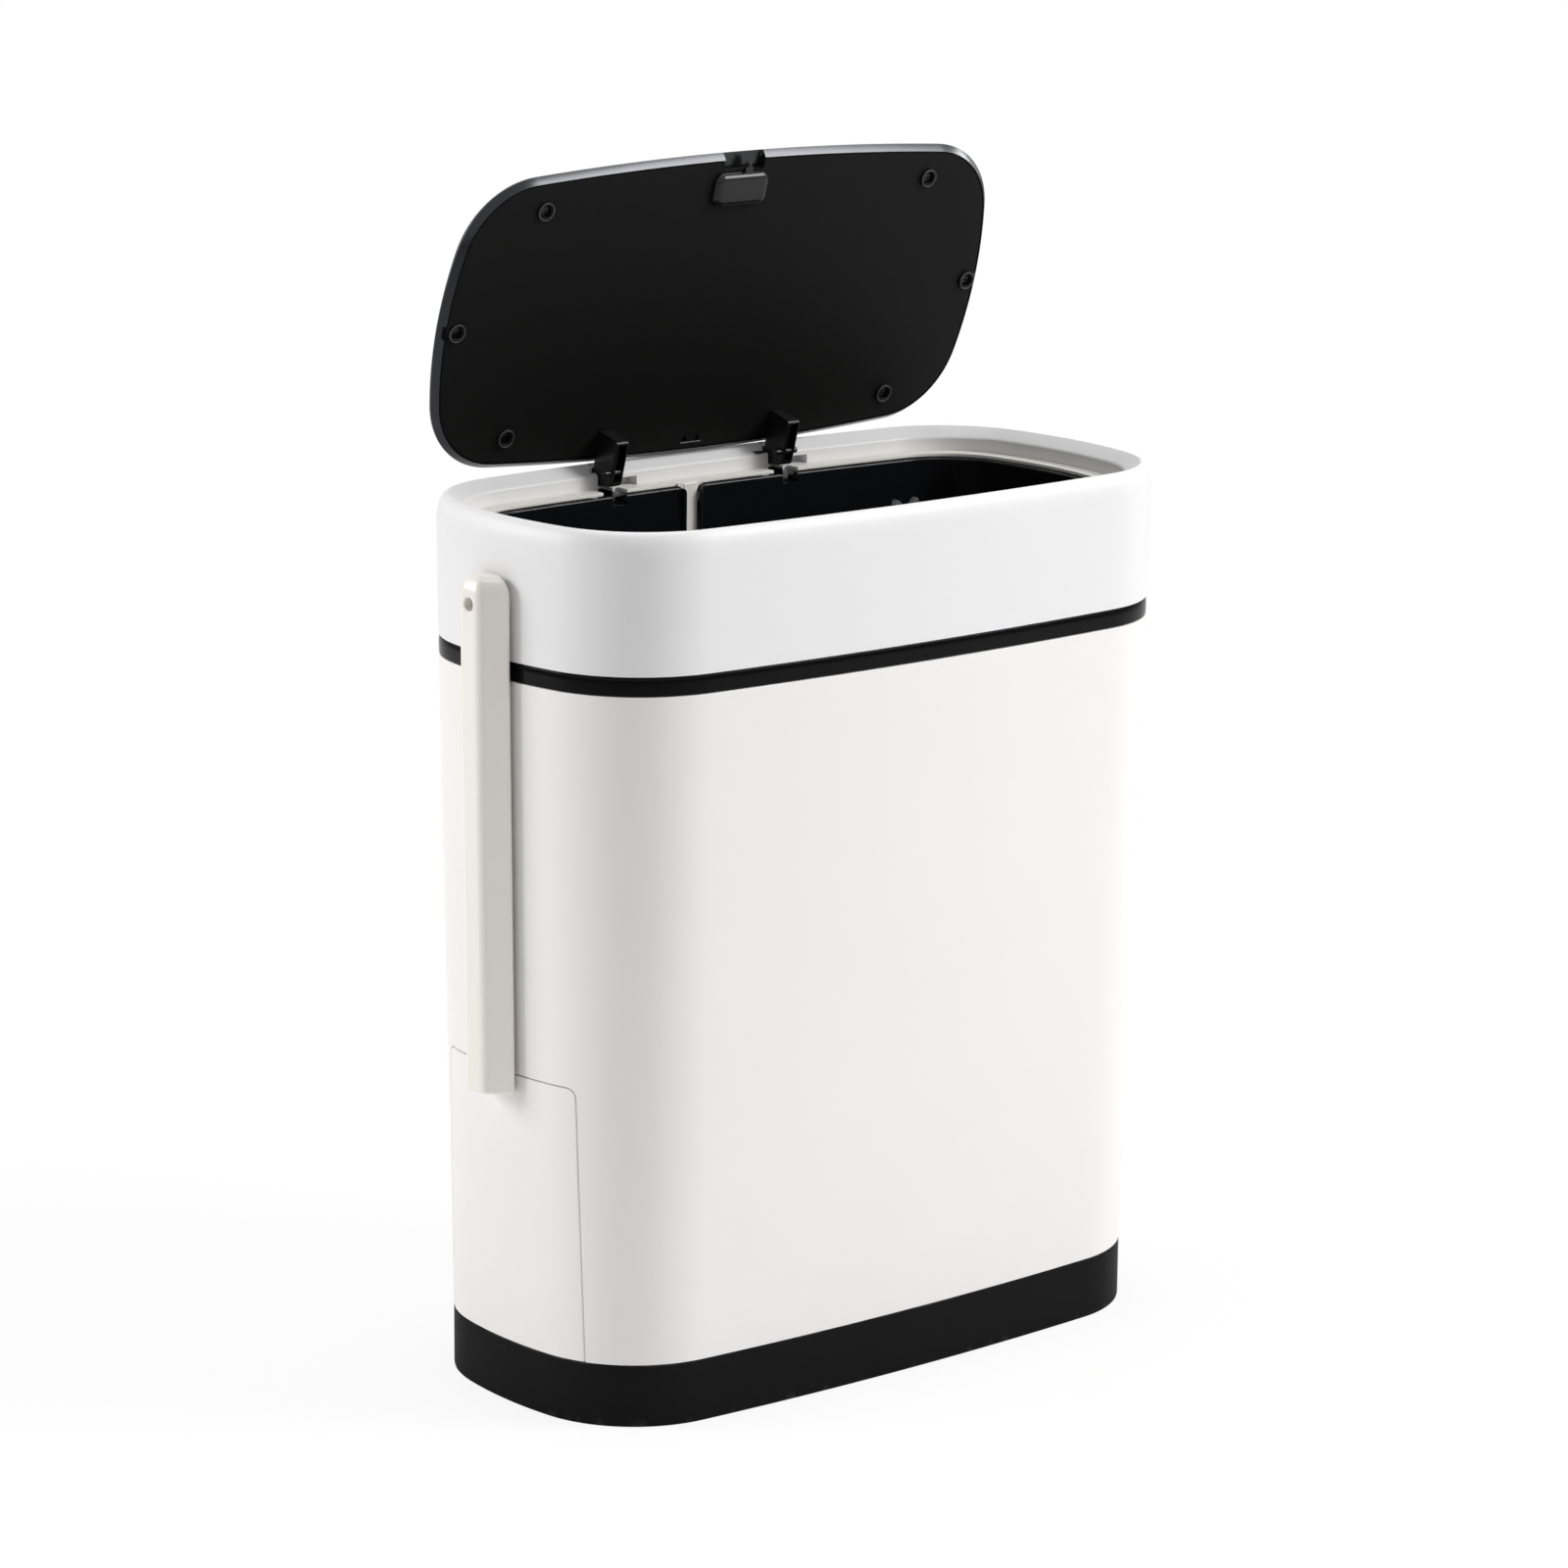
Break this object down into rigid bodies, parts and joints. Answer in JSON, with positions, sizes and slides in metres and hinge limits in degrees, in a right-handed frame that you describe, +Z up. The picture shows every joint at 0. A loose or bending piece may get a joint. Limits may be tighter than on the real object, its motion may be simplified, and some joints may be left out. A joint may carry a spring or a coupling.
{
  "type": "bathroom bin with toilet brush",
  "caption": "Slim bathroom waste bin with sprung flip lid, push latch, lift-out inner bins and a toilet brush that pulls out of a bay in its end.",
  "frame": {"origin": "centre of the body's underside, on the floor", "axes": "+X along the length away from the brush, +Y towards the hinges at the back, +Z up"},
  "size_m": [0.3559, 0.1758, 0.5417],
  "materials": {
    "base_black": "satin moulded black",
    "shell_white": "smooth warm white",
    "gloss_black": "high gloss black",
    "well_black": "fine grain black",
    "bin_black": "gloss black",
    "ring_white": "smooth white",
    "frame_white": "smooth warm white",
    "latch_black": "satin black",
    "claw_smoke": "smoke grey acetal",
    "spring_steel": "drawn wire",
    "pin_steel": "blackened",
    "arm_black": "satin black",
    "lid_gloss_black": "gloss black",
    "plate_black": "fine grain black",
    "striker_black": "gloss black",
    "screw_black": "blackened",
    "handle_white": "satin warm white",
    "bracket_white": "natural",
    "bristle_white": "nylon filament",
    "screw_steel": "plated"
  },
  "bodies": {
    "base": {"base_plinth": "base_black", "outer_shell": "shell_white", "trim_band": "gloss_black", "brush_well": "well_black"},
    "small_bin": {"small_bin": "bin_black"},
    "large_bin": {"large_bin": "bin_black"},
    "top_frame": {"upper_ring": "ring_white", "bin_frame": "frame_white", "latch_housing": "latch_black", "latch_spring": "spring_steel", "hinge_pin_left": "pin_steel", "hinge_pin_right": "pin_steel"},
    "lid": {"lid_cover": "lid_gloss_black", "lid_inner_plate": "plate_black", "lid_striker": "striker_black", "hinge_arm_left": "arm_black", "hinge_arm_right": "arm_black", "hinge_spring_left": "spring_steel", "hinge_spring_right": "spring_steel", "lid_screw_1": "screw_black", "lid_screw_2": "screw_black", "lid_screw_3": "screw_black", "lid_screw_4": "screw_black", "lid_screw_5": "screw_black", "lid_screw_6": "screw_black"},
    "latch": {"latch_claws": "claw_smoke"},
    "brush": {"brush_handle": "handle_white", "brush_cover_panel": "shell_white", "brush_head_bracket": "bracket_white", "brush_head_core": "bracket_white", "brush_bristles": "bristle_white", "panel_screw_front": "screw_steel", "panel_screw_back": "screw_steel"}
  },
  "joints": [
    {"name": "small_bin_lift", "type": "slide", "parent": "base", "child": "small_bin", "axis": [0, 0, 1], "range_m": [0, 0.26]},
    {"name": "large_bin_lift", "type": "slide", "parent": "small_bin", "child": "large_bin", "axis": [0, 0, 1], "range_m": [0, 0.34]},
    {"name": "top_frame_lift", "type": "slide", "parent": "large_bin", "child": "top_frame", "axis": [0, 0, 1], "range_m": [0, 0.09]},
    {"name": "lid_hinge", "type": "hinge", "parent": "top_frame", "child": "lid", "pos_m": [0, 0.0772, 0.3951], "axis": [1, 0, 0], "range_deg": [0, 74], "stiffness_Nm_per_rad": 0.11, "springref_deg": -45.84},
    {"name": "latch_press", "type": "slide", "parent": "top_frame", "child": "latch", "axis": [0, 0, 1], "range_m": [-0.005, 0], "stiffness_N_per_m": 300, "springref_m": 0.005, "deforming": ["latch_spring"]},
    {"name": "brush_pull", "type": "slide", "parent": "base", "child": "brush", "axis": [-1, 0, 0], "range_m": [0, 0.13]}
  ]
}
